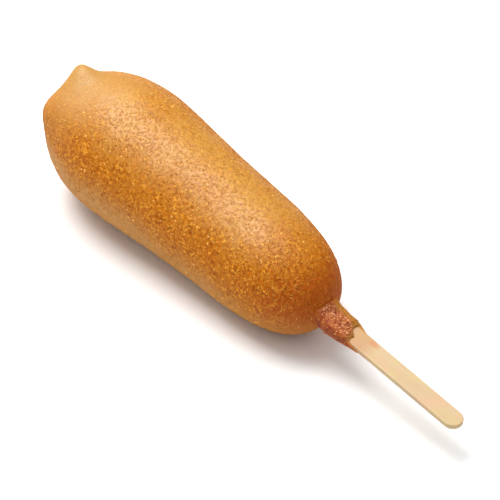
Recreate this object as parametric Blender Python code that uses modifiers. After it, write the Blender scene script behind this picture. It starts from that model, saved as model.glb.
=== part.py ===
"""A corn dog: a fat, tapering crust of fried cornmeal batter on a flat wooden stick.

It lies on a table with its stick to +X. The crust is thickest near its tip, so its
axis dips towards the stick until the underside is level, and it rests there on one
narrow flat. The origin is at the bottom centre of the whole thing. Metres, +Z up.
"""

import math

import bmesh
import bpy
import numpy as np
from mathutils import Matrix, Vector

MM = 0.001

# Crust: a turned body along its own axis X, with x = 0 half way along the taper.
HALF_LENGTH = 58.5 * MM
TIP_POLE = -57.5 * MM
MIDDLE_RADIUS = 19.3 * MM
TAPER = 0.213
FLARE = 0.159
TIP_DOME_LENGTH = 42.1 * MM
TIP_DOME_POWER = 2.25
CAP_LENGTH = 48.8 * MM
CAP_POWER = 3.78
BOW = 1.1 * MM
CRUST_RINGS = 44
CRUST_SEGMENTS = 64

# The last drip of batter at the tip, and the blunt shoulder on its other side.
DRIP = {
    "centre": Vector((-47.7, -2.4, 15.7)) * MM,
    "way": Vector((-0.646, 0.322, 0.692)),
    "height": 5.1 * MM,
    "reach": 5.0 * MM,
}
SHOULDER = {
    "centre": Vector((-48.0, -11.5, 10.9)) * MM,
    "way": Vector((-0.690, -0.724, -0.013)),
    "height": 3.4 * MM,
    "reach": 7.4 * MM,
}

# Stick: a flat stirrer with round ends, most of it inside the crust.
STICK_LENGTH = 114.3 * MM
STICK_WIDTH = 6.2 * MM
STICK_THICKNESS = 1.6 * MM
STICK_END_X = 114.6 * MM
STICK_YAW = math.radians(-0.81)
STICK_CROSSES_AXIS_X = 81.8 * MM
STICK_EASING = 0.25 * MM
STICK_END_POINTS = 14

# Collar: batter fried on to the stick, an oval sleeve that thins to a film.
COLLAR_START_X = 50.0 * MM
COLLAR_FULL_TO_X = 67.3 * MM
COLLAR_END_X = 74.4 * MM
COLLAR_HALF_WIDTH = 4.65 * MM
COLLAR_SIDEWAYS = -0.25 * MM
COLLAR_HALF_HEIGHT = 2.6 * MM
FILM_HALF_WIDTH = 3.75 * MM
FILM_HALF_HEIGHT = 0.85 * MM
COLLAR_SQUARENESS = 2.6
COLLAR_LUMP = 0.18 * MM
COLLAR_LUMP_LENGTHS = (7 * MM, 10 * MM)
COLLAR_LUMPS_ROUND = (5, 3)
TOP_FILM_LEAD = 0.5
TOP_FILM_POWER = 0.7
COLLAR_RINGS = 18
COLLAR_SEGMENTS = 36

# How it lies.
REST_TILT = math.radians(3.78)
REST_FLAT_DEPTH = 0.6 * MM

GAP = 0.3 * MM
MERGE = 0.01 * MM
FLOOR_BLOCK = 0.3
SHARP_ANGLE = math.radians(40)
EASED_ANGLE = math.radians(60)


def clear_scene():
    for obj in list(bpy.data.objects):
        bpy.data.objects.remove(obj, do_unlink=True)


def collection(name):
    made = bpy.data.collections.new(name)
    bpy.context.scene.collection.children.link(made)
    return made


def material(name, colour, roughness):
    """A Principled material; colour is linear red, green, blue."""
    made = bpy.data.materials.new(name)
    made.use_nodes = True
    shader = made.node_tree.nodes["Principled BSDF"]
    shader.inputs["Base Color"].default_value = (*colour, 1.0)
    shader.inputs["Roughness"].default_value = roughness
    shader.inputs["Metallic"].default_value = 0.0
    return made


def add_object(name, mesh, group, parent=None):
    obj = bpy.data.objects.new(name, mesh)
    group.objects.link(obj)
    obj.parent = parent
    return obj


def as_cutter(obj):
    obj.hide_render = True
    obj.display_type = "WIRE"
    return obj


def evaluated_mesh(obj):
    depsgraph = bpy.context.evaluated_depsgraph_get()
    return bpy.data.meshes.new_from_object(obj.evaluated_get(depsgraph))


def turned(name, profile, segments):
    """Turn a profile of (x, radius) about the X axis, and return it as a mesh.

    The profile stands on the Screw modifier's Z axis, listed from its top, which is
    the stick's side, and the turned mesh is then laid down so that +Z becomes +X.
    """
    outline = bpy.data.meshes.new(name)
    points = [(radius, 0.0, x) for x, radius in profile]
    links = [(i, i + 1) for i in range(len(points) - 1)]
    outline.from_pydata(points, links, [])
    obj = add_object(name, outline, bpy.context.scene.collection)
    screw = obj.modifiers.new("turn", "SCREW")
    screw.axis = "Z"
    screw.steps = segments
    screw.render_steps = segments
    screw.use_merge_vertices = True
    screw.merge_threshold = MERGE
    mesh = evaluated_mesh(obj)
    mesh.transform(Matrix.Rotation(math.radians(90), 4, "Y"))
    bpy.data.objects.remove(obj, do_unlink=True)
    return mesh


def move_points(mesh, rule):
    """Move every vertex: rule takes and returns an array of points, one to a row."""
    points = np.empty(len(mesh.vertices) * 3)
    mesh.vertices.foreach_get("co", points)
    moved = rule(points.reshape(-1, 3))
    mesh.vertices.foreach_set("co", moved.reshape(-1))
    mesh.update()
    return moved


def crust_radius(x):
    """A tapering, slightly flared middle, closed by a domed tip and a blunter cap."""
    along = x / HALF_LENGTH
    middle = MIDDLE_RADIUS * (1 - TAPER * along + FLARE * along**2)
    into_tip = np.clip((TIP_POLE + TIP_DOME_LENGTH - x) / TIP_DOME_LENGTH, 0, 1)
    into_cap = np.clip((x - HALF_LENGTH + CAP_LENGTH) / CAP_LENGTH, 0, 1)
    tip = np.sqrt(1 - into_tip**TIP_DOME_POWER)
    cap = np.sqrt(1 - into_cap**CAP_POWER)
    return middle * tip * cap


def crust_profile():
    """Points closest together at the two poles, from the stick's side to the tip."""
    turn = np.linspace(0, math.pi, CRUST_RINGS + 1)
    middle = (HALF_LENGTH + TIP_POLE) / 2
    x = middle + (HALF_LENGTH - TIP_POLE) / 2 * np.cos(turn)
    radius = crust_radius(x)
    radius[[0, -1]] = 0.0
    return list(zip(x, radius))


def swell(points, lump):
    """Push points along the lump's way, most at its centre and none far from it."""
    away = points - np.array(lump["centre"])
    share = np.exp(-(away**2).sum(axis=1) / lump["reach"] ** 2)
    return points + lump["height"] * share[:, None] * np.array(lump["way"])


def shape_crust(points):
    """Bow the turned body sideways, then raise the drip and the shoulder at its tip."""
    bowed = points.copy()
    bowed[:, 1] += BOW * (1 - (points[:, 0] / HALF_LENGTH) ** 2)
    return swell(swell(bowed, DRIP), SHOULDER)


def stick_y(x):
    """Sideways place of the stick's centre line, which crosses the crust's axis."""
    return (x - STICK_CROSSES_AXIS_X) * math.tan(STICK_YAW)


def collar_profile():
    """A plain rod of radius one half width, closed at both ends."""
    x = np.linspace(COLLAR_END_X, COLLAR_START_X, COLLAR_RINGS + 1)
    rod = [(place, COLLAR_HALF_WIDTH) for place in x]
    return [(COLLAR_END_X, 0.0), *rod, (COLLAR_START_X, 0.0)]


def shape_collar(points):
    """Flatten the rod to a lumpy, squarish oval that thins to a film at its end.

    The oval sits a little to one side of the stick. The film starts sooner on the
    stick's broad faces than at its edges.
    """
    x = points[:, 0]
    turn = np.arctan2(points[:, 2], points[:, 1])
    share = np.hypot(points[:, 1], points[:, 2]) / COLLAR_HALF_WIDTH
    thinning = (x - COLLAR_FULL_TO_X) / (COLLAR_END_X - COLLAR_FULL_TO_X)
    side_film = np.clip(thinning, 0, 1)
    top_film = np.clip(thinning + TOP_FILM_LEAD, 0, 1) ** TOP_FILM_POWER
    width = COLLAR_HALF_WIDTH + (FILM_HALF_WIDTH - COLLAR_HALF_WIDTH) * side_film
    height = COLLAR_HALF_HEIGHT + (FILM_HALF_HEIGHT - COLLAR_HALF_HEIGHT) * top_film
    lump = COLLAR_LUMP * (1 - side_film)
    for length, lumps_round in zip(COLLAR_LUMP_LENGTHS, COLLAR_LUMPS_ROUND):
        lump = lump * np.sin(lumps_round * turn + 2 * math.pi * x / length)
    power = 2 / COLLAR_SQUARENESS
    side = np.sign(np.cos(turn)) * np.abs(np.cos(turn)) ** power
    rise = np.sign(np.sin(turn)) * np.abs(np.sin(turn)) ** power
    shaped = points.copy()
    middle = stick_y(x) + COLLAR_SIDEWAYS * (1 - side_film)
    shaped[:, 1] = share * (width + lump) * side + middle
    shaped[:, 2] = share * (height + lump) * rise
    return shaped


def stick_mesh(name, grow):
    """The stick's flat outline with its round ends, as deep as the stick is thick.

    Its centre is at the middle of its length. grow widens it all round.
    """
    radius = STICK_WIDTH / 2 + grow
    straight = STICK_LENGTH / 2 - STICK_WIDTH / 2
    half_turn = np.linspace(-math.pi / 2, math.pi / 2, STICK_END_POINTS + 1)
    outer = [(straight + radius * math.cos(a), radius * math.sin(a)) for a in half_turn]
    outline = outer + [(-x, -y) for x, y in outer]
    curve = bpy.data.curves.new(name, "CURVE")
    curve.dimensions = "2D"
    curve.fill_mode = "BOTH"
    curve.extrude = STICK_THICKNESS / 2 + grow
    spline = curve.splines.new("POLY")
    spline.points.add(len(outline) - 1)
    spline.points.foreach_set("co", [c for x, y in outline for c in (x, y, 0, 1)])
    spline.use_cyclic_u = True
    obj = add_object(name, curve, bpy.context.scene.collection)
    mesh = evaluated_mesh(obj)
    bpy.data.objects.remove(obj, do_unlink=True)
    weld = bmesh.new()
    weld.from_mesh(mesh)
    bmesh.ops.remove_doubles(weld, verts=weld.verts, dist=MERGE)
    weld.to_mesh(mesh)
    weld.free()
    return mesh


def place_stick(obj):
    centre_x = STICK_END_X - STICK_LENGTH / 2
    obj.location = (centre_x, stick_y(centre_x), 0.0)
    obj.rotation_euler = (0.0, 0.0, STICK_YAW)


def combine(obj, other, operation):
    step = obj.modifiers.new(operation.lower(), "BOOLEAN")
    step.operation = operation
    step.solver = "EXACT"
    step.object = other


def floor_block(group):
    """A block whose top is the table, z = 0."""
    bpy.ops.mesh.primitive_cube_add(size=FLOOR_BLOCK, location=(0, 0, -FLOOR_BLOCK / 2))
    block = bpy.context.object
    block.name = "floor_block"
    for owner in block.users_collection:
        owner.objects.unlink(block)
    group.objects.link(block)
    return as_cutter(block)


def smooth(mesh):
    mesh.shade_smooth()
    mesh.set_sharp_from_angle(angle=SHARP_ANGLE)


def build():
    clear_scene()
    parts = collection("corn_dog")
    cutters = collection("cutters")
    fried_batter = material("fried_batter", (0.56, 0.22, 0.04), 0.5)
    birch = material("birch", (0.80, 0.58, 0.33), 0.6)

    body_axis = bpy.data.objects.new("body_axis", None)
    parts.objects.link(body_axis)
    lay_down = Matrix.Rotation(REST_TILT, 4, "Y")

    # Crust, collar, the slot for the stick, and the flat it rests on.
    crust = turned("batter", crust_profile(), CRUST_SEGMENTS)
    crust_points = move_points(crust, shape_crust)
    collar = turned("collar", collar_profile(), COLLAR_SEGMENTS)
    move_points(collar, shape_collar)
    smooth(crust)
    crust.materials.append(fried_batter)
    batter = add_object("batter", crust, parts, body_axis)
    combine(batter, as_cutter(add_object("collar", collar, cutters, body_axis)), "UNION")
    slot = as_cutter(add_object("slot", stick_mesh("slot", GAP), cutters, body_axis))
    place_stick(slot)
    combine(batter, slot, "DIFFERENCE")
    combine(batter, floor_block(cutters), "DIFFERENCE")

    # Stick with eased edges.
    blade = stick_mesh("stick", 0.0)
    blade.materials.append(birch)
    stick = add_object("stick", blade, parts, body_axis)
    place_stick(stick)
    ease = stick.modifiers.new("ease", "BEVEL")
    ease.width = STICK_EASING
    ease.segments = 2
    ease.limit_method = "ANGLE"
    ease.angle_limit = EASED_ANGLE

    # Lay it down on the table, with the middle of its box over the origin.
    laid = crust_points @ np.array(lay_down.to_3x3()).T
    stick_end = lay_down @ Vector((STICK_END_X, 0.0, 0.0))
    centre_x = (laid[:, 0].min() + stick_end.x) / 2
    centre_y = (laid[:, 1].min() + laid[:, 1].max()) / 2
    rest_z = -laid[:, 2].min() - REST_FLAT_DEPTH
    body_axis.location = (-centre_x, -centre_y, rest_z)
    body_axis.rotation_euler = lay_down.to_euler()
    bpy.context.view_layer.update()


build()
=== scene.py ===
import itertools
import math

import bmesh
import bpy
import numpy as np
from mathutils import Matrix, Vector


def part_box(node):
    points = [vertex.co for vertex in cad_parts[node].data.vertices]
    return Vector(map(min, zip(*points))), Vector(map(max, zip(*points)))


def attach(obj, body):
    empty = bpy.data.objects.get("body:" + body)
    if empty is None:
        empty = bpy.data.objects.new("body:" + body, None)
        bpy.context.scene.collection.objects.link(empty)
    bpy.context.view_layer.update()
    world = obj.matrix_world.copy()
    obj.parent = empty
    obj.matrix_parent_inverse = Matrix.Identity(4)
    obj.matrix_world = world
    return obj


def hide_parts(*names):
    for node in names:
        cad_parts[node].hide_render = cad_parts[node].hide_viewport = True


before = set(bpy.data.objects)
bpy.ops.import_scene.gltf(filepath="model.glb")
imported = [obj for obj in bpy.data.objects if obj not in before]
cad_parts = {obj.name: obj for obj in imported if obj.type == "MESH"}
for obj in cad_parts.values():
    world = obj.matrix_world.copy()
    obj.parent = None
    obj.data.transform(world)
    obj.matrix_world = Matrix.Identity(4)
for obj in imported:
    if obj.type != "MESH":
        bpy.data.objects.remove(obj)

# The looks of a corn dog: a crust of deep-fried cornmeal batter, the collar of batter
# that fried on to its stick, the grits and crumbs in both, and the bare birch stick.
# Lengths are in metres. The crust's own axis is X, with the stick at +X, and is then
# laid down as the CAD crust lies.

MM = 0.001

# How finely curves are sampled when lengths and boxes are measured.
LENGTH_SAMPLES = 4000
OUTLINE_SAMPLES = 8000
BOX_RINGS = 200
BOX_AROUND = 120

# Crust, as in the CAD solid: a tapering middle between two domes, bowed sideways. The
# drip and the shoulder near its tip are bells of batter, each pushed out its own way.
HALF_LENGTH = 58.5 * MM
TIP_POLE = -57.5 * MM
MIDDLE_RADIUS = 19.3 * MM
TAPER = 0.213
FLARE = 0.159
TIP_DOME_LENGTH = 42.1 * MM
TIP_DOME_POWER = 2.25
CAP_LENGTH = 48.8 * MM
CAP_POWER = 3.78
BOW = 1.1 * MM
DRIP = {
    "centre": np.array((-47.7, -2.4, 15.7)) * MM,
    "way": np.array((-0.646, 0.322, 0.692)),
    "height": 5.1 * MM,
    "reach": 5.0 * MM,
}
SHOULDER = {
    "centre": np.array((-48.0, -11.5, 10.9)) * MM,
    "way": np.array((-0.690, -0.724, -0.013)),
    "height": 3.4 * MM,
    "reach": 7.4 * MM,
}
REST_TILT = math.radians(3.78)
TILT = np.array(Matrix.Rotation(REST_TILT, 3, "Y")).T
FLOOR_SOFTNESS = 0.15 * MM
CRUST_RINGS = 326
CRUST_AROUND = 300

# Crust relief: what each layer is, how far apart its lumps are, and how high they are.
CRUST_RELIEF = (
    ("swelling of the batter", 24.0 * MM, 0.30 * MM),
    ("uneven coating", 9.0 * MM, 0.12 * MM),
    ("blisters", 3.6 * MM, 0.06 * MM),
)
WRINKLE_SPACING = 1.3 * MM
WRINKLE_HEIGHT = 0.035 * MM

# Round the drip wrinkles and pits are weaker, by this share at most. Between two places
# towards the stick, grits and marks get fewer.
SMOOTH_TIP_REACH = 28.0 * MM
SMOOTH_TIP_SHARE = 0.65
SMOOTH_END_X = (46.0 * MM, 55.0 * MM)

# Pits are burst bubbles, at this share of centres that lie one in each cube.
PIT_SPACING = 3.2 * MM
PIT_RADIUS = 0.55 * MM
PIT_DEPTH = 0.16 * MM
PIT_SHARE = 0.45
PIT_BOWL_POWER = 1.5

# Crinkles: how far the swirl moves a point, as a share of their spacing, and how steeply
# a ridge falls away from its crest.
CRINKLE_SWIRL = 0.9
CRINKLE_STEEPNESS = 3.2

# Stick, as in the CAD solid.
STICK_LENGTH = 114.3 * MM
STICK_WIDTH = 6.2 * MM
STICK_THICKNESS = 1.6 * MM
STICK_END_X = 114.6 * MM
STICK_YAW = math.radians(-0.81)
STICK_CROSSES_AXIS_X = 81.8 * MM
STICK_EASING = 0.25 * MM
STICK_STEPS = 220
STICK_END_STEPS = 36
STICK_FACE_STEPS = 8
STICK_EASED_STEPS = 5
STICK_SIDE_STEPS = 3

# Wood relief: a slow warp, and noise read at points squeezed along the stick, which
# draws it out into long fibres.
FIBRE_SQUEEZE = 0.06
FIBRE_SPACING = 0.45 * MM
FIBRE_HEIGHT = 0.012 * MM
WARP_SPACING = 6.0 * MM
WARP_HEIGHT = 0.03 * MM

# Collar: how thick the batter is on each side of the stick at stations along it, and
# where it stops. Near is the -Y side and far the +Y side. The outline crosses the
# stick's broad face while a direction's cosine is within SLEEVE_CROSSING, and its edge
# while the sine is. The end rises over the lip, whose places are shares of the fade.
COLLAR_START_X = 52.0 * MM
COLLAR_STOP_X = 76.5 * MM
COLLAR_STATIONS = np.array((52.0, 58.2, 59.6, 61.5, 64.5, 67.0, 69.0, 71.0, 73.0, 75.3)) * MM
COLLAR_THICK_FAR = np.array((2.4, 1.8, 1.5, 1.35, 1.05, 1.3, 1.0, 0.55, 0.4, 0.3)) * MM
COLLAR_THICK_NEAR = np.array((1.4, 1.5, 1.6, 1.75, 1.8, 1.45, 1.0, 0.65, 0.5, 0.3)) * MM
COLLAR_THICK_TOP = np.array((3.2, 2.7, 2.1, 1.75, 1.55, 1.45, 1.2, 0.85, 0.6, 0.4)) * MM
COLLAR_THICK_BOTTOM = np.array((2.6, 2.2, 1.8, 1.6, 1.4, 1.2, 1.0, 0.8, 0.5, 0.3)) * MM
COLLAR_FADE = 1.6 * MM
COLLAR_END_TOP_FAR = 68.4 * MM
COLLAR_END_TOP_NEAR = 71.0 * MM
COLLAR_END_STEP_Y = (-1.1 * MM, 1.1 * MM)
COLLAR_END_NEAR = 75.4 * MM
COLLAR_END_FAR = 72.3 * MM
COLLAR_END_BOTTOM = 72.5 * MM
COLLAR_DROP_FROM = 0.85
COLLAR_FAR_DROP = (0, 0.3)
COLLAR_UNDER_LEAN = (0.5, 0.9)
COLLAR_RAGGED = (
    ("bites", 0.9 * MM, 0.45 * MM),
    ("nicks", 0.4 * MM, 0.27 * MM),
)
COLLAR_LIP = (0.0, 0.2)
COLLAR_SUNK = 0.12 * MM
SLEEVE_CROSSING = 0.2
COLLAR_CRACK_TURN = math.radians(143)
COLLAR_CRACK_HALF_ANGLE = math.radians(7)
COLLAR_CRACK_DEPTH = 0.22 * MM
COLLAR_CRACK_X = (59.0 * MM, 61.0 * MM)
COLLAR_CRACK_WANDER = 0.2
COLLAR_CRACK_WANDER_SPACING = 1.6 * MM
COLLAR_CRACK_GAP_SPACING = 1.3 * MM
COLLAR_CRACK_OPENS = (-0.5, 0.3)
COLLAR_CRINKLE_SPACING = 0.34 * MM
COLLAR_CRINKLE_HEIGHT = 0.10 * MM
COLLAR_CRINKLED_Z = (0, 0.8 * MM)
COLLAR_CRINKLED_NEAR_Y = (-3.6 * MM, -2.8 * MM)
COLLAR_CRINKLED_FAR_Y = (1.4 * MM, 2.6 * MM)
COLLAR_CRINKLED_X = (57.6 * MM, 58.8 * MM)
COLLAR_FLANK_Y = (1.2 * MM, 2.8 * MM)
COLLAR_ROOT_X = (57.8 * MM, 59.4 * MM)
COLLAR_ROOT_RAGGED = (("bites", 1.1 * MM, 0.5 * MM),)
COLLAR_CALM_RELIEF = 0.4
COLLAR_CALM_CRINKLES = 0.1
COLLAR_RINGS = 240
COLLAR_AROUND = 250
COLLAR_RELIEF = (
    ("lumps", 2.6 * MM, 0.20 * MM),
    ("crags", 1.3 * MM, 0.12 * MM),
)

# Browning, from 0 to 1, and the crust's colour at it. It deepens towards the stick's end
# between two places along the crust, and down the flanks between two heights, where the
# deeper colour is partly real browning and partly painted shade.
BROWNING = (
    (0.0, "#c88e31"),
    (0.22, "#be7d25"),
    (0.55, "#b86b10"),
    (0.75, "#b7630b"),
    (0.9, "#b25c06"),
    (1.0, "#ae5208"),
)
END_BROWNING_X = (30.5 * MM, 59.5 * MM)
FLANK_BROWNING_AND_SHADE_Z = (27.0 * MM, 38.5 * MM)
TOP_LINE_FALL = 0.12
# Going down between these heights the crust is painted paler: painted bounce light from the
# floor.
UNDERSIDE_Z = (13.0 * MM, 26.0 * MM)

# Grits: coarse cornmeal half sunk in the crust, and fewer towards the stick. Crumbs:
# crisp bits on the collar, past the crust. Each is sunk by a share of its radius.
GRIT_COUNT = 2600
GRIT_RADIUS = (0.14 * MM, 0.40 * MM)
GRIT_SINK = (0.25, 0.7)
GRITS_FEWER_BY_STICK = 0.8
CRUMB_COUNT = 180
CRUMB_RADIUS = (0.12 * MM, 0.34 * MM)
CRUMB_SINK = (0.0, 0.5)
CRUMBS_FROM_X = (58.0 * MM, 60.0 * MM)

# A grain's corners go in and out by half its unevenness at most, it is stretched by its
# own factors and flattened, and a power above one makes small grains commoner.
GRAIN_UNEVENNESS = 0.28
GRAIN_STRETCH = (0.6, 1.5)
GRAIN_FLATNESS = 0.75
GRAIN_SIZE_POWER = 1.6
SEED = 11

# Where the fry oil soaked into the wood, and the grease mark on its top.
OIL_SOAKED_X = (74.0 * MM, 80.0 * MM)
GREASE_MARK_MIDDLE = np.array((76.6, 1.9, 0.8)) * MM
GREASE_MARK_REACH = np.array((2.6, 1.3, 2.6)) * MM

# Camera: its direction, its distance, and what it is aimed at, seen from the crust's
# middle. The long lens gives the corn dog its nearly parallel sides.
VIEW_AZIMUTH = math.radians(47.98)
VIEW_ELEVATION = math.radians(42.0)
VIEW_ROLL = math.radians(0.17)
VIEW_DISTANCE = 1.2
VIEW_RIGHT = 17.1 * MM
VIEW_UP = -13.6 * MM
VIEW_WIDTH = 147.3 * MM
SENSOR_WIDTH_MM = 36.0
FARTHEST_SEEN = 20.0

# Studio: one square softbox overhead, and a square card floor.
SOFTBOX_PLACE = (-0.371, -0.008, 0.764)
SOFTBOX_SIDE = 0.62
SOFTBOX_WATTS = 8.7
FLOOR_HALF_SIDE = 3.0


# ---------------------------------------------------------------- numbers and meshes


def hash_cells(cells, seed):
    """A fixed number from 0 to 1 for each whole-number cell (x, y, z), mixed by
    products with large odd numbers and by shifts."""
    mixed = cells[..., 0] * 73856093 ^ cells[..., 1] * 19349663 ^ cells[..., 2] * 83492791
    mixed = (mixed + seed * 2654435761) & 0x7FFFFFFF
    mixed = (mixed ^ (mixed >> 13)) * 1274126177 & 0x7FFFFFFF
    mixed = (mixed ^ (mixed >> 16)) * 668265263 & 0x7FFFFFFF
    return (mixed ^ (mixed >> 15)) / 0x7FFFFFFF


def noise(points, size, seed):
    """Smooth noise from about -1 to 1.

    Each corner of a lattice of cubes `size` wide has its own number, and a point's
    value blends the eight corners round it with a curve that starts and ends level.
    """
    grid = points / size
    cell = np.floor(grid).astype(np.int64)
    part = grid - cell
    ease = part**3 * (part * (part * 6 - 15) + 10)
    total = np.zeros(points.shape[:-1])
    for corner in itertools.product((0, 1), repeat=3):
        weight = np.where(corner, ease, 1 - ease).prod(axis=-1)
        total += weight * hash_cells(cell + np.array(corner), seed)
    return total * 2 - 1


def nearest_centre(points, size, seed):
    """Distance to the nearest of the random centres, one in each cube `size` wide,
    and that centre's own number from 0 to 1."""
    cell = np.floor(points / size).astype(np.int64)
    best = np.full(points.shape[:-1], np.inf)
    number = np.zeros(points.shape[:-1])
    for step in itertools.product((-1, 0, 1), repeat=3):
        near = cell + np.array(step)
        offset = np.stack([hash_cells(near, seed + k) for k in range(3)], axis=-1)
        away = np.linalg.norm((near + offset) * size - points, axis=-1)
        closer = away < best
        best = np.where(closer, away, best)
        number = np.where(closer, hash_cells(near, seed + 3), number)
    return best, number


def crinkles(points, size, seed):
    """Winding ridges that are 1 along their crests: points are first swirled by a noise
    twice as coarse, and one less the steepness times the size of the noise there peaks
    along its zeros."""
    swirl = [noise(points, 2 * size, seed + k) for k in (1, 2, 3)]
    swirled = points + CRINKLE_SWIRL * size * np.stack(swirl, axis=-1)
    return 1 - CRINKLE_STEEPNESS * np.abs(noise(swirled, size, seed))


def layered(points, layers, seed):
    """The sum of one noise for each layer of relief, each times its height."""
    total = np.zeros(points.shape[:-1])
    for order, (_, size, height) in enumerate(layers):
        total += height * noise(points, size, seed + order)
    return total


def smoothstep(value, low, high):
    """0 below low, 1 above high, and an S-shaped curve between."""
    part = np.clip((value - low) / (high - low), 0, 1)
    return part * part * (3 - 2 * part)


def outward(points):
    """Unit normals of a grid that is open along its rings and closed round them."""
    along = np.gradient(points, axis=0)
    around = np.roll(points, -1, axis=1) - np.roll(points, 1, axis=1)
    normal = np.cross(around, along)
    length = np.linalg.norm(normal, axis=-1, keepdims=True)
    return normal / np.maximum(length, 1e-12)


def tube_faces(rings, around):
    """Quads between neighbouring rings, and a fan of triangles to a pole at each end.

    Vertices are the rings in order, then the pole before the first and after the last.
    """
    ring, step = np.meshgrid(np.arange(rings - 1), np.arange(around), indexing="ij")
    after = (step + 1) % around
    quads = np.stack(
        [
            ring * around + step,
            ring * around + after,
            (ring + 1) * around + after,
            (ring + 1) * around + step,
        ],
        axis=-1,
    ).reshape(-1, 4)
    turn = np.arange(around)
    first, last = rings * around, rings * around + 1
    start = np.stack([(turn + 1) % around, turn, np.full(around, first)], axis=-1)
    base = (rings - 1) * around
    end = np.stack([base + turn, base + (turn + 1) % around, np.full(around, last)], axis=-1)
    return quads, np.concatenate([start, end])


def add_piece(name, vertices, faces, material, replaced=(), values=None):
    """A smooth-shaded piece at the origin that rides on the only body.

    values are named numbers, one for each vertex, which its material reads.
    """
    mesh = bpy.data.meshes.new(name)
    mesh.from_pydata(vertices.tolist(), [], faces)
    for key, numbers in (values or {}).items():
        mesh.attributes.new(key, "FLOAT", "POINT").data.foreach_set("value", numbers)
    mesh.validate()
    mesh.shade_smooth()
    mesh.materials.append(material)
    piece = bpy.data.objects.new(name, mesh)
    bpy.context.scene.collection.objects.link(piece)
    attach(piece, "root")
    if replaced:
        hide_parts(*replaced)
    return piece


def add_tube(name, grid, material, replaced, values):
    """A closed piece from a grid whose first and last rings are drawn together."""
    poles = np.stack([grid[0].mean(axis=0), grid[-1].mean(axis=0)])
    quads, fans = tube_faces(*grid.shape[:2])
    vertices = np.concatenate([grid.reshape(-1, 3), poles])
    numbers = {
        key: np.concatenate([v.reshape(-1), [v[0].mean(), v[-1].mean()]])
        for key, v in values.items()
    }
    faces = quads.tolist() + fans.tolist()
    add_piece(name, vertices, faces, material, replaced, numbers)


# ------------------------------------------------------------------------ the crust


def crust_radius(x):
    """Radius at x: a tapering middle with a slight flare, times a superellipse dome
    over the tip's length, times a blunter one over the cap's."""
    along = x / HALF_LENGTH
    middle = MIDDLE_RADIUS * (1 - TAPER * along + FLARE * along**2)
    into_tip = np.clip((TIP_POLE + TIP_DOME_LENGTH - x) / TIP_DOME_LENGTH, 0, 1)
    into_cap = np.clip((x - HALF_LENGTH + CAP_LENGTH) / CAP_LENGTH, 0, 1)
    return middle * np.sqrt(1 - into_tip**TIP_DOME_POWER) * np.sqrt(1 - into_cap**CAP_POWER)


def swell(points, lump):
    """Points pushed the lump's way by its height times a bell curve of their distance
    from its centre."""
    away = points - lump["centre"]
    share = np.exp(-(away**2).sum(axis=-1) / lump["reach"] ** 2)
    return points + lump["height"] * share[..., None] * lump["way"]


def crust_form(x, turn):
    """The smooth crust: a circle of crust_radius round the axis at every x, bowed
    sideways by a parabola, then swollen at the drip and the shoulder."""
    radius = crust_radius(x)
    bow = BOW * (1 - (x / HALF_LENGTH) ** 2)
    round_ = np.stack([x, radius * np.cos(turn) + bow, radius * np.sin(turn)], axis=-1)
    return swell(swell(round_, DRIP), SHOULDER)


def even_rings(count):
    """Places along the axis whose rings are evenly spaced over the surface."""
    angle = np.linspace(0, math.pi, LENGTH_SAMPLES)
    x = (HALF_LENGTH + TIP_POLE) / 2 - (HALF_LENGTH - TIP_POLE) / 2 * np.cos(angle)
    steps = np.hypot(np.diff(x), np.diff(crust_radius(x)))
    walked = np.concatenate([[0], np.cumsum(steps)])
    wanted = np.linspace(0, walked[-1], count + 2)[1:-1]
    return np.interp(wanted, walked, x)


def lay_down(points):
    """Turn a point of the upright frame by the resting tilt, and move it to where the
    CAD crust lies: its tip, its middle line and its top."""
    return points @ TILT + PLACE


def find_place():
    """Where the tilted crust has to go to fill the CAD crust's box."""
    turn = np.linspace(0, 2 * math.pi, BOX_AROUND, endpoint=False)
    form = crust_form(*np.meshgrid(even_rings(BOX_RINGS), turn, indexing="ij"))
    tilted = form @ TILT
    low, high = tilted.reshape(-1, 3).min(axis=0), tilted.reshape(-1, 3).max(axis=0)
    box_low, box_high = (np.array(corner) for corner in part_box("batter"))
    across = (box_low[1] + box_high[1] - low[1] - high[1]) / 2
    return np.array([box_low[0] - low[0], across, box_high[2] - high[2]])


def stand_on_floor(points):
    """Lift what would be under the floor to it, with a soft bend where it starts."""
    z = points[..., 2]
    lifted = (z + np.sqrt(z**2 + FLOOR_SOFTNESS**2)) / 2
    return np.concatenate([points[..., :2], lifted[..., None]], axis=-1)


def crust_pits(points):
    """How deep each point lies in a burst bubble: a bowl round some random centres."""
    away, number = nearest_centre(points, PIT_SPACING, SEED + 40)
    bowl = np.clip(1 - (away / PIT_RADIUS) ** 2, 0, 1) ** PIT_BOWL_POWER
    return np.where(number < PIT_SHARE, bowl, 0)


def make_crust(material):
    """The smooth crust pushed out along its normals by relief and wrinkles and in by
    pits, then laid on the floor. Its material reads the pits and the roughness."""
    turn = np.linspace(0, 2 * math.pi, CRUST_AROUND, endpoint=False)
    x, turn = np.meshgrid(even_rings(CRUST_RINGS), turn, indexing="ij")
    form = crust_form(x, turn)
    normal = outward(form)
    from_drip = np.linalg.norm(form - DRIP["centre"], axis=-1)
    rough = 1 - SMOOTH_TIP_SHARE * (1 - smoothstep(from_drip, 0, SMOOTH_TIP_REACH))
    height = layered(form, CRUST_RELIEF, SEED)
    wrinkles = crinkles(form, WRINKLE_SPACING, SEED + 10) * rough
    pits = crust_pits(form) * rough
    lift = height + WRINKLE_HEIGHT * wrinkles - PIT_DEPTH * pits
    skin = stand_on_floor(lay_down(form + normal * lift[..., None]))
    values = {"pit": pits, "rough": rough}
    add_tube("crust", skin, material, ("batter",), values)
    return skin


# ------------------------------------------------------------------------ the stick


def stick_y(x):
    """Sideways place of the stick's centre line at x."""
    return (x - STICK_CROSSES_AXIS_X) * math.tan(STICK_YAW)


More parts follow.
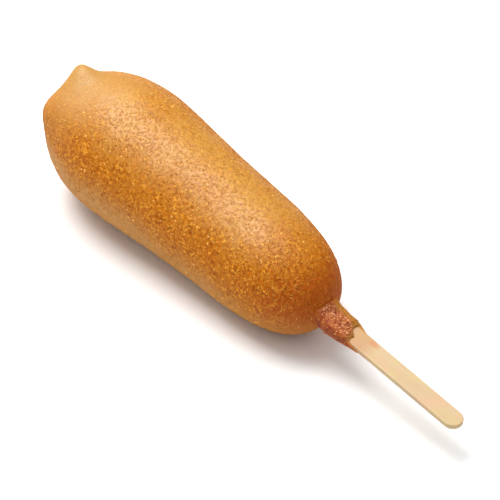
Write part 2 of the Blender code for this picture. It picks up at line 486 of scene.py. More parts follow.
def place_on_stick(points):
    """Points given from the stick's own middle, turned and moved to its place."""
    centre_x = STICK_END_X - STICK_LENGTH / 2
    turned = points @ np.array(Matrix.Rotation(STICK_YAW, 3, "Z")).T
    return lay_down(turned + np.array([centre_x, stick_y(centre_x), 0]))


def stick_profile():
    """From the middle of the top face out, over the eased edge, down the side and back
    to the middle of the bottom face: (distance out, height, which way is outward)."""
    half = STICK_THICKNESS / 2
    radius = STICK_WIDTH / 2
    out = np.linspace(0, radius - STICK_EASING, STICK_FACE_STEPS, endpoint=False)
    arc = np.linspace(math.pi / 2, 0, STICK_EASED_STEPS)
    edge = np.stack([radius - STICK_EASING + STICK_EASING * np.cos(arc),
                     half - STICK_EASING + STICK_EASING * np.sin(arc)])
    side = np.linspace(half - STICK_EASING, 0, STICK_SIDE_STEPS + 1)[1:]
    upper_out = np.concatenate([out, edge[0], np.full_like(side, radius)])
    upper_z = np.concatenate([np.full_like(out, half), edge[1], side])
    upper_way = np.concatenate([np.full_like(out, math.pi / 2), arc, np.zeros_like(side)])
    lower = slice(-2, None, -1)
    return (
        np.concatenate([upper_out, upper_out[lower]]),
        np.concatenate([upper_z, -upper_z[lower]]),
        np.concatenate([upper_way, -upper_way[lower]]),
    )


def make_stick(material):
    """The stick's profile carried round its stadium outline: along one side, round the
    end, back along the other side and round the other end. Fine long fibres and a slow
    warp lift it along its normals."""
    straight = (STICK_LENGTH - STICK_WIDTH) / 2
    run = np.linspace(-straight, straight, STICK_STEPS)
    bend = np.linspace(math.pi / 2, -math.pi / 2, STICK_END_STEPS)[1:-1]
    spine = np.concatenate([run, np.full(bend.size, straight), run[::-1],
                            np.full(bend.size, -straight)])
    way = np.concatenate([np.full(STICK_STEPS, math.pi / 2), bend,
                          np.full(STICK_STEPS, -math.pi / 2), bend + math.pi])
    out, height, lean = stick_profile()
    level = np.stack([np.cos(way), np.sin(way), np.zeros(way.size)], axis=-1)
    points = spine[:, None, None] * np.array([1, 0, 0]) + out[None, :, None] * level[:, None]
    points = points + height[None, :, None] * np.array([0, 0, 1])
    facing = np.cos(lean)[None, :, None] * level[:, None]
    facing = facing + np.sin(lean)[None, :, None] * np.array([0, 0, 1])
    fibres = noise(points * np.array([FIBRE_SQUEEZE, 1, 1]), FIBRE_SPACING, SEED + 60)
    warp = noise(points, WARP_SPACING, SEED + 61)
    points = points + facing * (FIBRE_HEIGHT * fibres + WARP_HEIGHT * warp)[..., None]
    loops, across = points.shape[:2]
    loop, step = np.meshgrid(np.arange(loops), np.arange(across - 1), indexing="ij")
    after = (loop + 1) % loops
    quads = np.stack([loop * across + step, loop * across + step + 1,
                      after * across + step + 1, after * across + step], axis=-1)
    piece = add_piece("stick_blade", place_on_stick(points).reshape(-1, 3),
                      quads.reshape(-1, 4).tolist(), material, ("stick",))
    weld = bmesh.new()
    weld.from_mesh(piece.data)
    bmesh.ops.remove_doubles(weld, verts=weld.verts, dist=0.001 * MM)
    bmesh.ops.recalc_face_normals(weld, faces=weld.faces)
    weld.to_mesh(piece.data)
    weld.free()


# ----------------------------------------------------------------------- the collar


def sleeve(turn, reach):
    """Outline round the stick at a distance: its flat core, widened by reach in the
    direction of turn. Each broad face is crossed while turn is close to upright."""
    core_width = STICK_WIDTH / 2 - STICK_EASING
    core_height = STICK_THICKNESS / 2 - STICK_EASING
    y = core_width * np.clip(np.cos(turn) / SLEEVE_CROSSING, -1, 1) + reach * np.cos(turn)
    z = core_height * np.clip(np.sin(turn) / SLEEVE_CROSSING, -1, 1) + reach * np.sin(turn)
    return y, z


def even_turns(count):
    """Directions whose points are evenly spaced round a sleeve of usual thickness."""
    turn = np.linspace(0, 2 * math.pi, OUTLINE_SAMPLES)
    y, z = sleeve(turn, COLLAR_THICK_TOP.mean())
    walked = np.concatenate([[0], np.cumsum(np.hypot(np.diff(y), np.diff(z)))])
    wanted = np.linspace(0, walked[-1], count, endpoint=False)
    return np.interp(wanted, walked, turn)


def collar_end(y, z, turn):
    """Where the batter stops along the stick. On the top face it steps from one place
    to the other across the stick's width; down the near side it runs on as a parabola
    of the height; the far side and the bottom each have their own place. Noise makes
    the line ragged."""
    half = STICK_THICKNESS / 2
    across = 1 - smoothstep(y, *COLLAR_END_STEP_Y)
    top = COLLAR_END_TOP_FAR + (COLLAR_END_TOP_NEAR - COLLAR_END_TOP_FAR) * across
    start = COLLAR_DROP_FROM * half
    drop = np.clip((start - z) / (start + half), 0, 1)
    near = top + (COLLAR_END_NEAR - top) * (1 - (1 - drop) ** 2)
    far = top + (COLLAR_END_FAR - top) * smoothstep(drop, *COLLAR_FAR_DROP)
    below = smoothstep(-np.sin(turn), *COLLAR_UNDER_LEAN)
    side = np.where(np.cos(turn) > 0, far, near)
    here = np.stack([y * 0, y, z], axis=-1)
    ragged = layered(here, COLLAR_RAGGED, SEED + 20)
    return side + (COLLAR_END_BOTTOM - side) * below + ragged


def collar_thickness(x, turn):
    """The four sides' thicknesses at x, weighed by the squares of how far turn leans
    towards each."""
    level, upright = np.cos(turn), np.sin(turn)
    sides = (
        (np.maximum(level, 0), COLLAR_THICK_FAR),
        (np.maximum(-level, 0), COLLAR_THICK_NEAR),
        (np.maximum(upright, 0), COLLAR_THICK_TOP),
        (np.maximum(-upright, 0), COLLAR_THICK_BOTTOM),
    )
    return sum(lean**2 * np.interp(x, COLLAR_STATIONS, thick) for lean, thick in sides)


def make_collar(material):
    """A sleeve round the stick: its thickness between stations, less over its last bit
    as a square root, roughened by noise and by crinkles, cracked along the near upper
    edge, and sunk into the wood past its end."""
    x = np.linspace(COLLAR_START_X, COLLAR_STOP_X, COLLAR_RINGS)
    x, turn = np.meshgrid(x, even_turns(COLLAR_AROUND), indexing="ij")
    y, z = sleeve(turn, STICK_EASING)
    left = np.clip((collar_end(y, z, turn) - x) / COLLAR_FADE, 0, 1)
    thick = collar_thickness(x, turn) * np.sqrt(left)
    smooth_y, smooth_z = sleeve(turn, STICK_EASING + thick)
    here = np.stack([x, smooth_y, smooth_z], axis=-1)
    crinkled = smoothstep(smooth_z, *COLLAR_CRINKLED_Z)
    crinkled = crinkled * smoothstep(smooth_y, *COLLAR_CRINKLED_NEAR_Y)
    crinkled = crinkled * (1 - smoothstep(smooth_y, *COLLAR_CRINKLED_FAR_Y))
    ridges = crinkles(here, COLLAR_CRINKLE_SPACING, SEED + 30)
    wander = COLLAR_CRACK_WANDER * noise(here, COLLAR_CRACK_WANDER_SPACING, SEED + 34)
    lean = np.abs(turn - COLLAR_CRACK_TURN - wander)
    crack = np.clip(1 - lean / COLLAR_CRACK_HALF_ANGLE, 0, 1)
    gaps = noise(here, COLLAR_CRACK_GAP_SPACING, SEED + 35)
    crack = crack * smoothstep(gaps, *COLLAR_CRACK_OPENS)
    crack = crack * smoothstep(x, *COLLAR_CRACK_X)
    rough = layered(here, COLLAR_RELIEF, SEED + 36) - COLLAR_CRACK_DEPTH * crack
    rough = rough * (COLLAR_CALM_RELIEF + (1 - COLLAR_CALM_RELIEF) * crinkled)
    share = COLLAR_CALM_CRINKLES + (1 - COLLAR_CALM_CRINKLES) * crinkled
    past_root = smoothstep(x, *COLLAR_CRINKLED_X)
    rough = rough + COLLAR_CRINKLE_HEIGHT * ridges * share * past_root
    covered = smoothstep(left, *COLLAR_LIP)
    reach = STICK_EASING + (thick + rough * np.sqrt(left)) * covered
    reach = reach - COLLAR_SUNK * (1 - covered)
    y, z = sleeve(turn, reach)
    skin = lay_down(np.stack([x, y + stick_y(x), z], axis=-1))
    ragged_x = x + layered(here, COLLAR_ROOT_RAGGED, SEED + 37)
    values = {
        "rise": ridges,
        "crinkled": crinkled,
        "crack": crack,
        "film": 1 - left,
        "far": smoothstep(smooth_y, *COLLAR_FLANK_Y),
        "root": 1 - smoothstep(ragged_x, *COLLAR_ROOT_X),
    }
    add_tube("collar", skin, material, ("batter",), values)
    return skin, covered


# --------------------------------------------------------------- grits and crumbs


def icosahedron():
    """The twelve corners and twenty faces of a regular icosahedron of radius one."""
    golden = (1 + math.sqrt(5)) / 2
    corners = [np.roll((0, a, b * golden), -shift)
               for shift in range(3) for a in (-1, 1) for b in (-1, 1)]
    corners = np.array(corners) / math.hypot(1, golden)
    edge = np.linalg.norm(corners[:, None] - corners[None], axis=-1)
    touching = (edge > 0.1) & (edge < 1.1)
    faces = [
        (a, b, c)
        for a, b, c in itertools.combinations(range(12), 3)
        if touching[a, b] and touching[b, c] and touching[a, c]
    ]
    turned = [
        face if np.dot(np.cross(corners[face[1]] - corners[face[0]],
                                corners[face[2]] - corners[face[0]]), corners[face[0]]) > 0
        else face[::-1]
        for face in faces
    ]
    return corners, np.array(turned)


def scatter(name, grid, usable, count, radii, sink, material, rng):
    """Irregular grains on a surface: icosahedra with their corners pulled in and out,
    squashed towards the surface and turned at random, sunk by a share of their radius."""
    normal = outward(grid)
    area = np.linalg.norm(np.cross(np.gradient(grid, axis=0), np.gradient(grid, axis=1)), axis=-1)
    area = (area * usable).reshape(-1)
    chosen = rng.choice(area.size, size=count, replace=False, p=area / area.sum())
    where = grid.reshape(-1, 3)[chosen]
    up = normal.reshape(-1, 3)[chosen]
    corners, faces = icosahedron()
    radius = radii[0] + (radii[1] - radii[0]) * rng.random(count) ** GRAIN_SIZE_POWER
    shape = corners * (1 + GRAIN_UNEVENNESS * (rng.random((count, 12, 1)) - 0.5))
    shape = shape * rng.uniform(*GRAIN_STRETCH, (count, 1, 3))
    axis = np.cross(up, rng.normal(size=(count, 3)))
    axis = axis / np.linalg.norm(axis, axis=-1, keepdims=True)
    other = np.cross(up, axis)
    axes = np.stack([axis, other, up * GRAIN_FLATNESS], axis=1)
    turned = np.einsum("nij,njk->nik", shape, axes) * radius[:, None, None]
    depth = radius * rng.uniform(*sink, count)
    vertices = stand_on_floor(turned + (where - up * depth[:, None])[:, None])
    indices = faces[None] + (np.arange(count) * 12)[:, None, None]
    tint = np.repeat(rng.random(count), 12)
    add_piece(name, vertices.reshape(-1, 3), indices.reshape(-1, 3).tolist(), material,
              values={"tint": tint})


# ----------------------------------------------------------------------- materials


def hex_colour(code):
    """An sRGB hex colour as linear red, green, blue, alpha."""
    parts = [int(code[i : i + 2], 16) / 255 for i in (1, 3, 5)]
    linear = [p / 12.92 if p <= 0.04045 else ((p + 0.055) / 1.055) ** 2.4 for p in parts]
    return (*linear, 1.0)


def per(size):
    """Texture scale that puts a pattern's features `size` metres apart."""
    return 1 / size


def add(tree, kind, inputs, **settings):
    """Add a shader node: settings are its own, inputs are values or links by socket."""
    made = tree.nodes.new("ShaderNode" + kind)
    for name, value in settings.items():
        setattr(made, name, value)
    for socket, value in inputs.items():
        if isinstance(value, bpy.types.NodeSocket):
            tree.links.new(value, made.inputs[socket])
        else:
            made.inputs[socket].default_value = value
    return made


def blank_material(name, numbers):
    """A new material, its node tree, and its Principled shader with the numbers that are
    the same all over the surface set on its own sockets."""
    made = bpy.data.materials.new(name)
    made.use_nodes = True
    shader = made.node_tree.nodes["Principled BSDF"]
    for socket, value in numbers.items():
        shader.inputs[socket].default_value = value
    return made, made.node_tree, shader


# Mix node sockets for colours.
FACTOR, COLOUR_A, COLOUR_B, COLOUR_OUT = 0, 6, 7, 2


def fried_batter():
    """Deep-fried cornmeal batter: sandy and golden brown under a trace of oil.

    One number, how far it browned with painted light mixed in, runs from pale gold
    through golden brown to red brown: least at the tip, more down the flanks, where it is
    partly painted shade, most round the stick, and less on the underside, where it is
    painted bounce light. The oil gives a soft broad gloss and the meal pale specks, which
    are partly painted glints. The ridges carry a painted highlight, and the creases and
    the pits of burst bubbles carry painted shade.
    """
    made, tree, shader = blank_material("fried_cornmeal_batter", {
        "Roughness": 0.7, "IOR": 1.46, "Specular IOR Level": 0.0, "Coat Roughness": 0.4,
        "Coat IOR": 1.8})
    place = add(tree, "TexCoord", {}).outputs["Object"]
    pit = add(tree, "Attribute", {}, attribute_name="pit").outputs["Fac"]
    rough = add(tree, "Attribute", {}, attribute_name="rough").outputs["Fac"]
    split = add(tree, "SeparateXYZ", {"Vector": place})

    # Browning by place, with clouds, blotches and mottles of three sizes. The crust's
    # top line falls towards the stick, so the flanks are measured from a falling line. Down
    # the flanks the deeper brown is partly real browning and partly painted shade, and on
    # the underside the paler colour is painted bounce light from the floor.
    from_middle = add(tree, "Math", {0: split.outputs["X"], 1: PLACE[0]},
                      operation="SUBTRACT").outputs["Value"]
    level = add(tree, "Math", {0: from_middle, 1: TOP_LINE_FALL, 2: split.outputs["Z"]},
                operation="MULTIPLY_ADD").outputs["Value"]
    zones = []
    for value, (low, high), start, stop in ((from_middle, END_BROWNING_X, 0.16, 0.76),
                                            (level, FLANK_BROWNING_AND_SHADE_Z, 0.50, 0.0),
                                            (level, UNDERSIDE_Z, 1.0, 0.0)):
        zone = add(tree, "MapRange", {"Value": value, "From Min": low, "From Max": high,
                                      "To Min": start, "To Max": stop},
                   interpolation_type="SMOOTHSTEP")
        zones.append(zone.outputs["Result"])
    end, flank, under = zones
    browning_and_painted_light = add(tree, "Math", {0: end, 1: flank}, operation="ADD")
    browning_and_painted_light = add(tree, "Math", {0: under, 1: -0.25, 2: browning_and_painted_light.outputs["Value"]},
                  operation="MULTIPLY_ADD").outputs["Value"]
    patterns = {}
    for name, size, roughness, twist, amount in (("clouds", 13 * MM, 0.5, 0.0, 0.45),
                                                 ("blotches", 2.6 * MM, 0.6, 0.0, 0.4),
                                                 ("mottles", 0.45 * MM, 0.6, 1.0, 0.8)):
        pattern = add(tree, "TexNoise", {"Vector": place, "Scale": per(size), "Detail": 2.0,
                                         "Roughness": roughness, "Distortion": twist})
        patterns[name] = pattern.outputs["Fac"]
        centred = add(tree, "Math", {0: patterns[name], 1: 0.5}, operation="SUBTRACT")
        browning_and_painted_light = add(tree, "Math", {0: centred.outputs["Value"], 1: amount, 2: browning_and_painted_light},
                      operation="MULTIPLY_ADD").outputs["Value"]
    ramp = add(tree, "ValToRGB", {"Fac": browning_and_painted_light})
    stops = ramp.color_ramp.elements
    while len(stops) < len(BROWNING):
        stops.new(1.0)
    for stop, (position, code) in zip(stops, BROWNING):
        stop.position = position
        stop.color = hex_colour(code)

    # The last thin coat at the tip is smooth and floury. The underside takes a little of
    # the same pale colour as painted bounce light from the floor.
    smooth = add(tree, "MapRange", {"Value": rough, "From Min": 1 - SMOOTH_TIP_SHARE,
                                    "From Max": 1.0, "To Min": 0.8, "To Max": 0.0})
    low = add(tree, "Math", {0: under, 1: 0.5}, operation="MULTIPLY")
    floury_and_bounce_share = add(tree, "Math", {0: smooth.outputs["Result"],
                                      1: low.outputs["Value"]}, operation="MAXIMUM")
    floury_and_bounce = add(tree, "Mix", {FACTOR: floury_and_bounce_share.outputs["Value"],
                               COLOUR_A: ramp.outputs["Color"],
                               COLOUR_B: hex_colour("#b98d52")}, data_type="RGBA")

    # Winding ridges and creases, where two swirled noises fold at their middle value,
    # each broken into short strokes by a third.
    folds = []
    for size, shift in ((0.7 * MM, 0.0), (0.58 * MM, 0.5)):
        moved = add(tree, "Mapping", {"Vector": place, "Location": (shift, shift, 0.0)})
        swirl = add(tree, "TexNoise", {"Vector": moved.outputs["Vector"],
                                       "Scale": per(size), "Detail": 0.0,
                                       "Distortion": 1.2})
        gap = add(tree, "TexNoise", {"Vector": moved.outputs["Vector"],
                                     "Scale": per(1.7 * size), "Detail": 1.0})
        whole = add(tree, "MapRange", {"Value": gap.outputs["Fac"], "From Min": 0.40,
                                       "From Max": 0.58, "To Min": 0.15, "To Max": 1.0},
                    interpolation_type="SMOOTHSTEP")
        off = add(tree, "Math", {0: swirl.outputs["Fac"], 1: 0.5}, operation="SUBTRACT")
        away = add(tree, "Math", {0: off.outputs["Value"]}, operation="ABSOLUTE")
        fold = add(tree, "MapRange", {"Value": away.outputs["Value"], "From Min": 0.0,
                                      "From Max": 0.2, "To Min": 1.0, "To Max": 0.0})
        share = add(tree, "Math", {0: whole.outputs["Result"], 1: rough},
                    operation="MULTIPLY")
        kept = add(tree, "Math", {0: fold.outputs["Result"], 1: share.outputs["Value"]},
                   operation="MULTIPLY")
        folds.append(kept.outputs["Value"])
    ridge, crease = folds

    # The marks show least where the batter is pale, bare by the stick or calm below, and
    # gather in clusters as the blotches do.
    meal = add(tree, "TexNoise", {"Vector": place, "Scale": per(0.7 * MM), "Detail": 1.0,
                                  "Roughness": 0.5, "Distortion": 0.7})
    pale = add(tree, "MapRange", {"Value": browning_and_painted_light, "From Min": 0.2, "From Max": 0.6,
                                  "To Min": 0.45, "To Max": 0.9}).outputs["Result"]
    bare = add(tree, "MapRange", {"Value": from_middle, "From Min": SMOOTH_END_X[0],
                                  "From Max": SMOOTH_END_X[1], "To Min": 1.0,
                                  "To Max": 0.3})
    calm = add(tree, "MapRange", {"Value": under, "To Min": 1.0, "To Max": 0.45})
    shown = add(tree, "Math", {0: bare.outputs["Result"], 1: calm.outputs["Result"]},
                operation="MULTIPLY")
    shown = add(tree, "Math", {0: shown.outputs["Value"], 1: pale}, operation="MULTIPLY")
    gather = add(tree, "MapRange", {"Value": patterns["blotches"], "From Min": 0.38,
                                    "From Max": 0.62, "To Min": 0.5, "To Max": 1.3})
    shown = add(tree, "Math", {0: shown.outputs["Value"], 1: gather.outputs["Result"]},
                operation="MULTIPLY").outputs["Value"]
    shares = []
    for value, low, high, most in ((meal.outputs["Fac"], 0.62, 0.69, 0.6),
                                   (ridge, 0.4, 0.85, 1.0),
                                   (crease, 0.4, 0.85, 0.9)):
        share = add(tree, "MapRange", {"Value": value, "From Min": low, "From Max": high,
                                       "To Min": 0.0, "To Max": most})
        shares.append(add(tree, "Math", {0: share.outputs["Result"], 1: shown},
                          operation="MULTIPLY").outputs["Value"])
    # Painted highlight on crests, painted shade in creases and pits, specks partly glints.
    speck_and_glint_share, lit_crest_share, crease_shade_share = shares
    speck_and_glint_share = add(tree, "Math", {0: speck_and_glint_share, 1: rough},
                      operation="MULTIPLY").outputs["Value"]
    pit_shade_share = add(tree, "Math", {0: pit, 1: 0.7}, operation="MULTIPLY")
    colour = floury_and_bounce.outputs[COLOUR_OUT]
    for share, code in ((lit_crest_share, "#f0a430"),
                        (crease_shade_share, "#843e05"),
                        (pit_shade_share.outputs["Value"], "#7a380c"),
                        (speck_and_glint_share, "#ffb648")):
        colour = add(tree, "Mix", {FACTOR: share, COLOUR_A: colour,
                                   COLOUR_B: hex_colour(code)},
                     data_type="RGBA").outputs[COLOUR_OUT]
    tree.links.new(colour, shader.inputs["Base Color"])

    # Relief finer than the mesh: ridges, creases, specks and a sandy grain.
    grain = add(tree, "TexNoise", {"Vector": place, "Scale": per(0.5 * MM), "Detail": 1.0,
                                   "Roughness": 0.5, "Distortion": 1.0})
    height = add(tree, "Math", {0: ridge, 1: crease}, operation="SUBTRACT")
    height = add(tree, "Math", {0: height.outputs["Value"], 1: speck_and_glint_share},
                 operation="ADD")
    height = add(tree, "Math", {0: grain.outputs["Fac"], 1: 0.5,
                                2: height.outputs["Value"]}, operation="MULTIPLY_ADD")
    bump = add(tree, "Bump", {"Height": height.outputs["Value"], "Strength": 1.0,
                              "Distance": 0.11 * MM})
    tree.links.new(bump.outputs["Normal"], shader.inputs["Normal"])

    # The gloss is the oil film's. It levels the finest hollows, so it follows part of the
    # relief. The creases are dry, and so is what is browned most or painted darkest.
    film = add(tree, "Bump", {"Height": height.outputs["Value"], "Strength": 1.0,
                              "Distance": 0.045 * MM})
    tree.links.new(film.outputs["Normal"], shader.inputs["Coat Normal"])
    moist = add(tree, "MapRange", {"Value": browning_and_painted_light, "From Min": 0.15, "From Max": 0.6,
                                   "To Min": 0.5, "To Max": 0.13})
    open_ = add(tree, "MapRange", {"Value": crease, "From Min": 0.5, "From Max": 1.0,
                                   "To Min": 1.0, "To Max": 0.4})
    wet = add(tree, "Math", {0: moist.outputs["Result"], 1: open_.outputs["Result"]},
              operation="MULTIPLY")
    dusty = add(tree, "MapRange", {"Value": floury_and_bounce_share.outputs["Value"],
                                   "From Min": 0.3, "From Max": 0.7, "To Min": 1.0,
                                   "To Max": 0.6})
    wet = add(tree, "Math", {0: wet.outputs["Value"], 1: dusty.outputs["Result"]},
              operation="MULTIPLY")
    tree.links.new(wet.outputs["Value"], shader.inputs["Coat Weight"])
    return made


def collar_batter():
    """Batter fried hard on the stick: red-brown and crisp, with a pale orange painted
    highlight on the crests of its crinkles on top, yellow-brown down its far flank, and
    painted shade in its crack. Its specks show fully on the crinkles and the far flank
    and faintly elsewhere, and it takes the crust's brown at its root."""
    made, tree, shader = blank_material("crisp_fried_batter", {
        "Roughness": 0.5, "IOR": 1.46, "Specular IOR Level": 0.2})
    place = add(tree, "TexCoord", {}).outputs["Object"]
    values = {
        name: add(tree, "Attribute", {}, attribute_name=name).outputs["Fac"]
        for name in ("rise", "crinkled", "crack", "film", "far", "root")
    }
    patches = add(tree, "TexNoise", {"Vector": place, "Scale": per(1.8 * MM), "Detail": 3.0,
                                     "Roughness": 0.6, "Distortion": 0.4})
    specks = add(tree, "TexNoise", {"Vector": place, "Scale": per(0.5 * MM), "Detail": 2.0,
                                    "Roughness": 0.6, "Distortion": 0.8})
    patch_share = add(tree, "MapRange", {"Value": patches.outputs["Fac"], "From Min": 0.4,
                                         "From Max": 0.62, "To Min": 0.0, "To Max": 1.0})
    colour = add(tree, "Mix", {FACTOR: patch_share.outputs["Result"],
                               COLOUR_A: hex_colour("#a25420"),
                               COLOUR_B: hex_colour("#7e2c0a")}, data_type="RGBA")
    # Pale crests of the crinkles on top: a painted highlight.
    lit_crest = add(tree, "MapRange", {"Value": values["rise"], "From Min": 0.3,
                                   "From Max": 0.8, "To Min": 0.0, "To Max": 0.8})
    lit_crest_share = add(tree, "Math", {0: lit_crest.outputs["Result"], 1: values["crinkled"]},
                      operation="MULTIPLY")
    marked = add(tree, "Math", {0: values["crinkled"], 1: values["far"]}, operation="ADD")
    marked = add(tree, "MapRange", {"Value": marked.outputs["Value"], "To Min": 0.35,
                                    "To Max": 1.0})
    shares = {"lit_crest": lit_crest_share.outputs["Value"]}
    for name, low, high, start, stop in (("dark", 0.34, 0.46, 0.6, 0.0),
                                         ("light", 0.58, 0.68, 0.0, 0.4)):
        share = add(tree, "MapRange", {"Value": specks.outputs["Fac"], "From Min": low,
                                       "From Max": high, "To Min": start, "To Max": stop})
        shares[name] = add(tree, "Math", {0: share.outputs["Result"],
                                          1: marked.outputs["Result"]},
                           operation="MULTIPLY").outputs["Value"]
    for name, most in (("far", 0.7), ("film", 0.7), ("crack", 0.7), ("root", 0.85)):
        shares[name] = add(tree, "Math", {0: values[name], 1: most},
                           operation="MULTIPLY").outputs["Value"]
    # The crack layer darkens the crack: painted shade.
    layers = (("far", "#a87418"), ("dark", "#6a230a"), ("light", "#c98a30"),
              ("lit_crest", "#e8aa76"), ("film", "#bc8438"), ("crack", "#5e2410"),
              ("root", "#ac5410"))
    for name, code in layers:
        colour = add(tree, "Mix", {FACTOR: shares[name], COLOUR_A: colour.outputs[COLOUR_OUT],
                                   COLOUR_B: hex_colour(code)}, data_type="RGBA")
    tree.links.new(colour.outputs[COLOUR_OUT], shader.inputs["Base Color"])
    bump = add(tree, "Bump", {"Height": specks.outputs["Fac"], "Strength": 1.0,
                              "Distance": 0.15 * MM})
    tree.links.new(bump.outputs["Normal"], shader.inputs["Normal"])
    return made


def cornmeal_grain(name, pale, dark, roughness):
    """Coarse ground corn: hard, slightly glassy grains, each its own shade of yellow."""
    made, tree, shader = blank_material(name, {
        "Roughness": roughness, "IOR": 1.5, "Specular IOR Level": 0.2})
    tint = add(tree, "Attribute", {}, attribute_name="tint").outputs["Fac"]
    place = add(tree, "TexCoord", {}).outputs["Object"]
    uneven = add(tree, "TexNoise", {"Vector": place, "Scale": per(0.4 * MM), "Detail": 1.0})
    share = add(tree, "Math", {0: tint, 1: uneven.outputs["Fac"]}, operation="MULTIPLY")
    share = add(tree, "Math", {0: share.outputs["Value"], 1: 1.6}, operation="MULTIPLY",
                use_clamp=True)
    shade = add(tree, "Mix", {FACTOR: share.outputs["Value"], COLOUR_A: hex_colour(pale),
                              COLOUR_B: hex_colour(dark)}, data_type="RGBA")
    tree.links.new(shade.outputs[COLOUR_OUT], shader.inputs["Base Color"])
    return made


def birch():
    """Sawn and tumbled birch: pale cream with faint long grain and faint warm patches,
    darker where the batter's oil has soaked in by the collar and left a mark."""
    made, tree, shader = blank_material("tumbled_birch", {"Roughness": 0.55, "IOR": 1.5})
    place = add(tree, "TexCoord", {}).outputs["Object"]
    along_stick = add(tree, "Mapping", {"Vector": place,
                                        "Rotation": (0.0, -REST_TILT, -STICK_YAW)})
    stretched = add(tree, "Mapping", {"Vector": along_stick.outputs["Vector"],
                                      "Scale": (0.04, 1.0, 1.0)})
    fibre = add(tree, "TexNoise", {"Vector": stretched.outputs["Vector"],
                                   "Scale": per(0.5 * MM), "Detail": 3.0, "Roughness": 0.6})
    fibre_share = add(tree, "MapRange", {"Value": fibre.outputs["Fac"], "From Min": 0.4,
                                         "From Max": 0.75, "To Min": 0.0, "To Max": 0.6})
    wood = add(tree, "Mix", {FACTOR: fibre_share.outputs["Result"],
                             COLOUR_A: hex_colour("#c4a982"), COLOUR_B: hex_colour("#b69468")},
               data_type="RGBA")

    # Pinkish and yellowish patches of the wood, then the oil by the collar and one
    # longer grease mark on the far half of the top.
    layers = []
    for size, shift, most, code in ((6 * MM, 0.0, 0.6, "#cda27e"), (5 * MM, 0.3, 0.6, "#c2ae74")):
        moved = add(tree, "Mapping", {"Vector": place, "Location": (shift, shift, 0.0)})
        patch = add(tree, "TexNoise", {"Vector": moved.outputs["Vector"],
                                       "Scale": per(size), "Detail": 2.0})
        share = add(tree, "MapRange", {"Value": patch.outputs["Fac"], "From Min": 0.45,
                                       "From Max": 0.65, "To Min": 0.0, "To Max": most})
        layers.append((share.outputs["Result"], code))
    split = add(tree, "SeparateXYZ", {"Vector": place})
    soak = add(tree, "MapRange", {"Value": split.outputs["X"],
                                  "From Min": PLACE[0] + OIL_SOAKED_X[0],
                                  "From Max": PLACE[0] + OIL_SOAKED_X[1],
                                  "To Min": 0.55, "To Max": 0.0},
               interpolation_type="SMOOTHSTEP")
    layers.append((soak.outputs["Result"], "#b27a48"))
    moved = add(tree, "VectorMath", {0: place, 1: lay_down(GREASE_MARK_MIDDLE)},
                operation="SUBTRACT")
    moved = add(tree, "VectorMath", {0: moved.outputs["Vector"], 1: 1 / GREASE_MARK_REACH},
                operation="MULTIPLY")
    off = add(tree, "VectorMath", {0: moved.outputs["Vector"]}, operation="LENGTH")
    mark = add(tree, "MapRange", {"Value": off.outputs["Value"], "From Min": 0.3,
                                  "From Max": 1.0, "To Min": 0.6, "To Max": 0.0},
               interpolation_type="SMOOTHSTEP")
    layers.append((mark.outputs["Result"], "#c47a48"))
    for share, code in layers:
        wood = add(tree, "Mix", {FACTOR: share, COLOUR_A: wood.outputs[COLOUR_OUT],
                                 COLOUR_B: hex_colour(code)}, data_type="RGBA")
    tree.links.new(wood.outputs[COLOUR_OUT], shader.inputs["Base Color"])
    bump = add(tree, "Bump", {"Height": fibre.outputs["Fac"], "Strength": 1.0,
                              "Distance": 0.04 * MM})
    tree.links.new(bump.outputs["Normal"], shader.inputs["Normal"])
    return made


def matte_floor():
    """White matte card: even, with no gloss to speak of."""
    made, tree, shader = blank_material("white_card", {"Roughness": 0.9})
    place = add(tree, "TexCoord", {}).outputs["Object"]
    tooth = add(tree, "TexNoise", {"Vector": place, "Scale": per(3 * MM), "Detail": 2.0})
    shade = add(tree, "Mix", {FACTOR: tooth.outputs["Fac"], COLOUR_A: hex_colour("#fbfbfb"),
                              COLOUR_B: hex_colour("#f8f8f8")}, data_type="RGBA")
    tree.links.new(shade.outputs[COLOUR_OUT], shader.inputs["Base Color"])
    return made


# ------------------------------------------------------------- camera, light, floor


def add_camera():
    """A long lens at the viewing direction, aimed near the corn dog's middle."""
    sin_a, cos_a = math.sin(VIEW_AZIMUTH), math.cos(VIEW_AZIMUTH)
    sin_e, cos_e = math.sin(VIEW_ELEVATION), math.cos(VIEW_ELEVATION)
    back = Vector((sin_a * cos_e, -cos_a * cos_e, sin_e))
    right = Matrix.Rotation(VIEW_ROLL, 3, back) @ Vector((cos_a, sin_a, 0.0))
    up = back.cross(right)
    data = bpy.data.cameras.new("camera")
    data.sensor_width = SENSOR_WIDTH_MM
    data.lens = SENSOR_WIDTH_MM * VIEW_DISTANCE / VIEW_WIDTH
    data.clip_end = FARTHEST_SEEN
    camera = bpy.data.objects.new("camera", data)
    spot = Vector(PLACE) + back * VIEW_DISTANCE + right * VIEW_RIGHT + up * VIEW_UP
    axes = Matrix((right, up, back)).transposed()
    camera.matrix_world = Matrix.Translation(spot) @ axes.to_4x4()
    bpy.context.scene.collection.objects.link(camera)
    bpy.context.scene.camera = camera


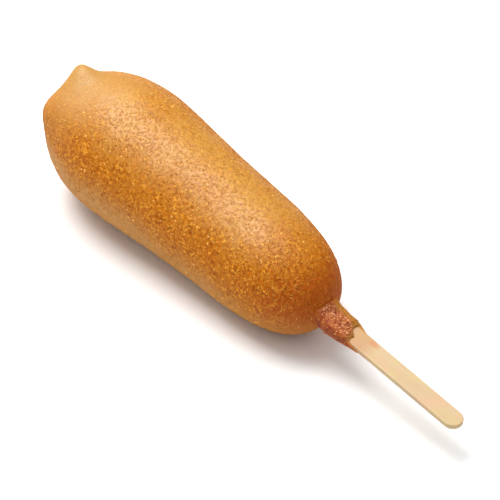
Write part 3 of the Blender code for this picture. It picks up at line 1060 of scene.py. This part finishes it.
def add_softbox():
    """A square area light overhead that faces the corn dog's place on the floor."""
    data = bpy.data.lights.new("overhead", "AREA")
    data.size = SOFTBOX_SIDE
    data.energy = SOFTBOX_WATTS
    lamp = bpy.data.objects.new("overhead", data)
    lamp.location = SOFTBOX_PLACE
    lamp.rotation_euler = Vector(SOFTBOX_PLACE).to_track_quat("Z", "Y").to_euler()
    bpy.context.scene.collection.objects.link(lamp)


def add_studio():
    """A white card floor, surroundings that brighten upwards and an overhead softbox."""
    mesh = bpy.data.meshes.new("floor")
    side = FLOOR_HALF_SIDE
    corners = [(-side, -side, 0), (side, -side, 0), (side, side, 0), (-side, side, 0)]
    mesh.from_pydata(corners, [], [(0, 1, 2, 3)])
    mesh.materials.append(matte_floor())
    floor = bpy.data.objects.new("floor", mesh)
    bpy.context.scene.collection.objects.link(floor)
    world = bpy.data.worlds.new("studio")
    world.use_nodes = True
    tree = world.node_tree
    surround = tree.nodes["Background"]
    up = add(tree, "SeparateXYZ", {"Vector": add(tree, "TexCoord", {}).outputs["Generated"]})
    strength = add(tree, "MapRange", {"Value": up.outputs["Z"], "From Min": 0.1,
                                      "From Max": 0.9, "To Min": 0.08, "To Max": 0.95},
                   interpolation_type="SMOOTHSTEP")
    tree.links.new(strength.outputs["Result"], surround.inputs["Strength"])
    surround.inputs["Color"].default_value = (1.0, 1.0, 1.0, 1.0)
    bpy.context.scene.world = world
    add_softbox()
    bpy.context.scene.view_settings.view_transform = "Standard"


# ------------------------------------------------------------------------- assembly

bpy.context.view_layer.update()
PLACE = find_place()
rng = np.random.default_rng(SEED)

crust_skin = make_crust(fried_batter())
collar_skin, collar_covered = make_collar(collar_batter())
make_stick(birch())
grit = cornmeal_grain("cornmeal_grits", "#f2b85c", "#bc7820", 0.4)
by_stick = smoothstep(crust_skin[..., 0] - PLACE[0], *SMOOTH_END_X)
scatter("cornmeal_grits", crust_skin, 1 - GRITS_FEWER_BY_STICK * by_stick, GRIT_COUNT,
        GRIT_RADIUS, GRIT_SINK, grit, rng)
crumb = cornmeal_grain("crisp_crumbs", "#d98f52", "#8a3f16", 0.5)
past_crust = smoothstep(collar_skin[..., 0] - PLACE[0], *CRUMBS_FROM_X)
scatter("crisp_crumbs", collar_skin, past_crust * collar_covered, CRUMB_COUNT,
        CRUMB_RADIUS, CRUMB_SINK, crumb, rng)

add_camera()
add_studio()
